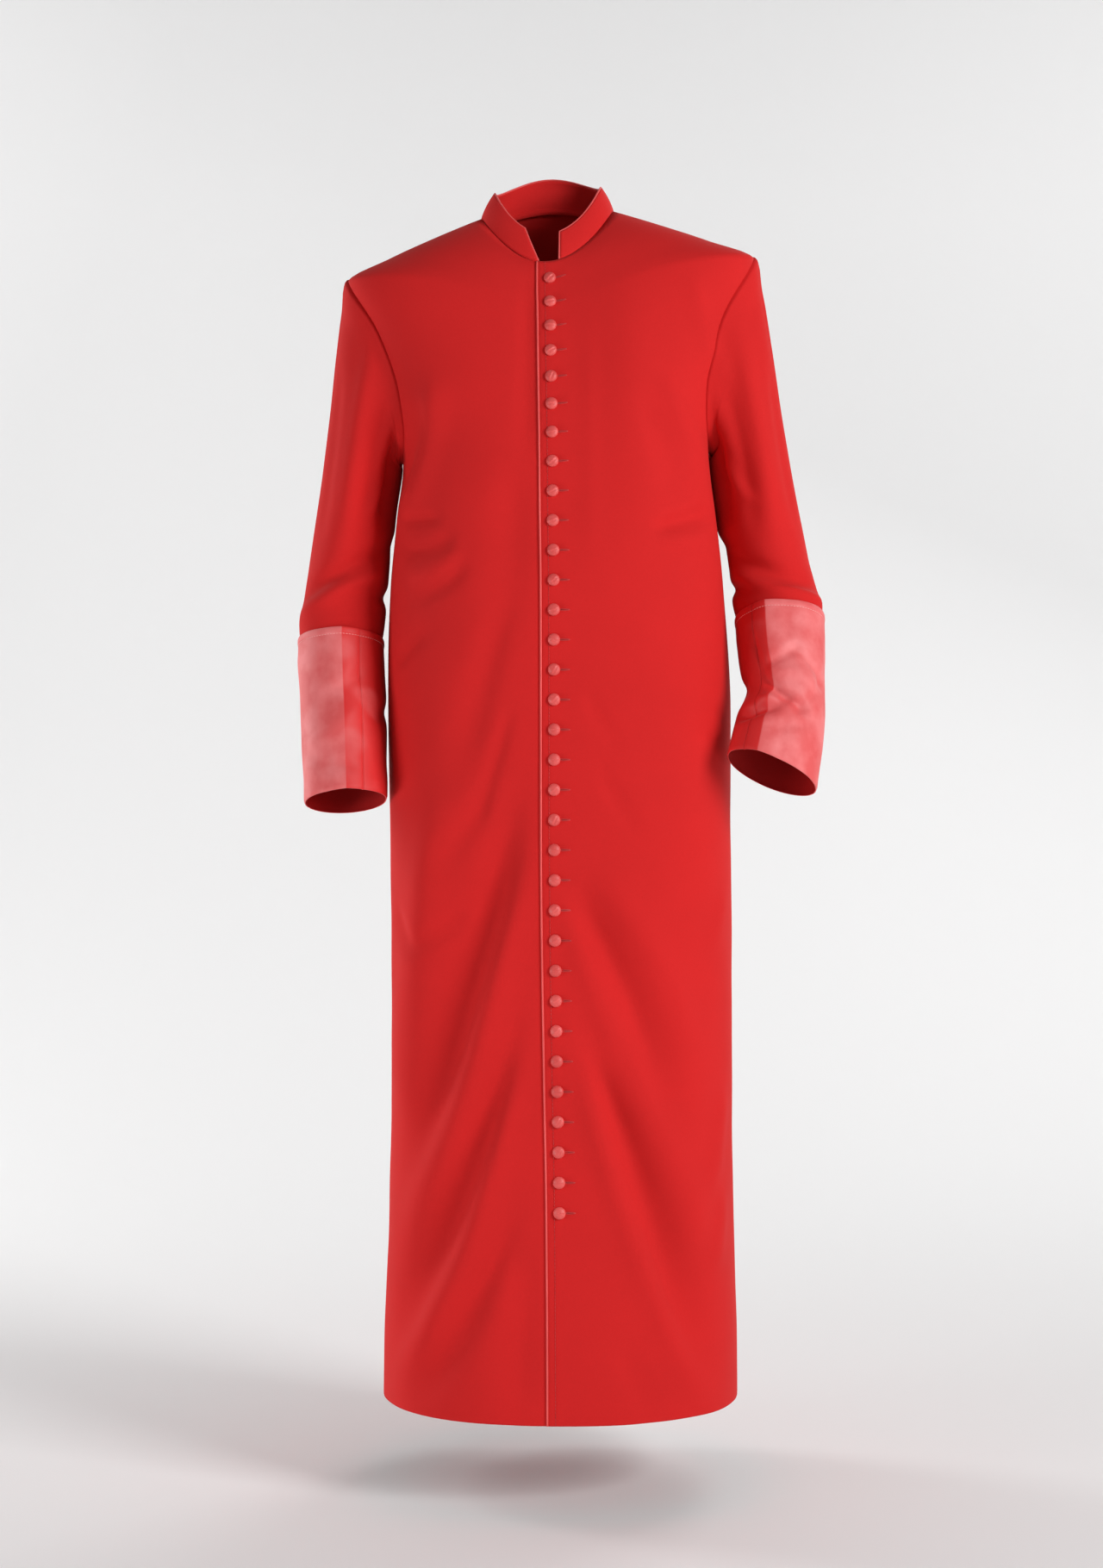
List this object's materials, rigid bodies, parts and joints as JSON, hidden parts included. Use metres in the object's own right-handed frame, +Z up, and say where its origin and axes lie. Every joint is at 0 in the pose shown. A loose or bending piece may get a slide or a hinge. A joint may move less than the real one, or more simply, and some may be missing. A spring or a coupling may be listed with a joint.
{
  "type": "cassock",
  "caption": "Long buttoned cassock in red cloth, hollow and in its worn pose, with a stand collar, satin piping, covered buttons and deep satin cuffs.",
  "frame": {"origin": "the middle of the neck opening, level with the upper ends of the shoulder seams", "axes": "+Z up, -Y the way the buttoned front faces, +X the wearer's left"},
  "size_m": [0.6435, 0.4155, 1.5027],
  "materials": {
    "red_cloth": "matte fine twill",
    "pink_satin": "glossy satin",
    "covered_button": "satin over a domed button"
  },
  "bodies": {
    "root": {"left_front": "red_cloth", "right_front": "red_cloth", "back": "red_cloth", "left_sleeve": "red_cloth", "right_sleeve": "red_cloth", "collar": "red_cloth", "left_cuff": "pink_satin", "right_cuff": "pink_satin", "front_piping": "pink_satin", "collar_piping": "pink_satin", "button_01": "covered_button", "button_02": "covered_button", "button_03": "covered_button", "button_04": "covered_button", "button_05": "covered_button", "button_06": "covered_button", "button_07": "covered_button", "button_08": "covered_button", "button_09": "covered_button", "button_10": "covered_button", "button_11": "covered_button", "button_12": "covered_button", "button_13": "covered_button", "button_14": "covered_button", "button_15": "covered_button", "button_16": "covered_button", "button_17": "covered_button", "button_18": "covered_button", "button_19": "covered_button", "button_20": "covered_button", "button_21": "covered_button", "button_22": "covered_button", "button_23": "covered_button", "button_24": "covered_button", "button_25": "covered_button", "button_26": "covered_button", "button_27": "covered_button", "button_28": "covered_button", "button_29": "covered_button", "button_30": "covered_button", "button_31": "covered_button", "button_32": "covered_button", "button_33": "covered_button"}
  },
  "joints": []
}
